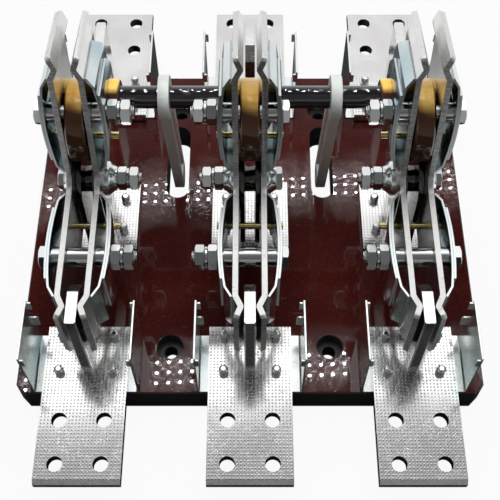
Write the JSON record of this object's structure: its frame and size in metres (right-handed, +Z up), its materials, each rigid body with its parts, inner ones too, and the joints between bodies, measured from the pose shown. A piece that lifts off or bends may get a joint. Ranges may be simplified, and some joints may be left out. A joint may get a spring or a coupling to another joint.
{
  "type": "changeover knife switch",
  "caption": "Ganged changeover knife switch: V-shaped blade pairs swing between front and rear knife contacts on an insulating base.",
  "frame": {"origin": "centre of the base board's underside, below the blade pivots", "axes": "+Z up from the base, +X across the poles, -Y to the closed front contacts"},
  "size_m": [0.345, 0.44, 0.2198],
  "materials": {
    "base_board": "gloss",
    "tinned_copper": "satin",
    "plated_copper": "satin",
    "zinc_steel": "satin",
    "spring_steel": "satin",
    "amber_resin": "gloss",
    "brass": "polished",
    "black_shaft": "gloss",
    "link_plastic": "satin"
  },
  "bodies": {
    "frame": {"base_plate": "base_board", "front_terminal_left": "tinned_copper", "front_terminal_centre": "tinned_copper", "front_terminal_right": "tinned_copper", "rear_terminal_left": "tinned_copper", "rear_terminal_centre": "tinned_copper", "rear_terminal_right": "tinned_copper", "front_contact_left": "tinned_copper", "front_contact_centre": "tinned_copper", "front_contact_right": "tinned_copper", "rear_contact_left": "tinned_copper", "rear_contact_centre": "tinned_copper", "rear_contact_right": "tinned_copper", "front_bracket_left": "zinc_steel", "front_bracket_centre": "zinc_steel", "front_bracket_right": "zinc_steel", "rear_bracket_left": "zinc_steel", "rear_bracket_centre": "zinc_steel", "rear_bracket_right": "zinc_steel", "hinge_contact_left": "tinned_copper", "hinge_contact_centre": "tinned_copper", "hinge_contact_right": "tinned_copper", "terminal_rivets": "zinc_steel"},
    "blade_carriage": {"blades_left": "plated_copper", "blades_centre": "plated_copper", "blades_right": "plated_copper", "front_springs_left": "spring_steel", "front_springs_centre": "spring_steel", "front_springs_right": "spring_steel", "rear_springs_left": "spring_steel", "rear_springs_centre": "spring_steel", "rear_springs_right": "spring_steel", "spring_bolts_left": "zinc_steel", "spring_bolts_centre": "zinc_steel", "spring_bolts_right": "zinc_steel", "pivot_bolt_left": "zinc_steel", "pivot_bolt_centre": "zinc_steel", "pivot_bolt_right": "zinc_steel", "insulator_left": "amber_resin", "insulator_centre": "amber_resin", "insulator_right": "amber_resin", "guide_pins": "brass", "drive_shaft": "black_shaft"},
    "drive_links": {"drive_link_left": "link_plastic", "drive_link_right": "link_plastic"}
  },
  "joints": [
    {"name": "blade_throw", "type": "hinge", "parent": "frame", "child": "blade_carriage", "pos_m": [0, 0, 0.0855], "axis": [-1, 0, 0], "range_deg": [0, 78.5]},
    {"name": "link_pivot", "type": "hinge", "parent": "blade_carriage", "child": "drive_links", "pos_m": [0, 0.01971, 0.15731], "axis": [-1, 0, 0], "range_deg": [-70, 0]}
  ],
  "couplings": [
    {"joint": "link_pivot", "follows": "blade_throw", "ratio": -0.85}
  ]
}
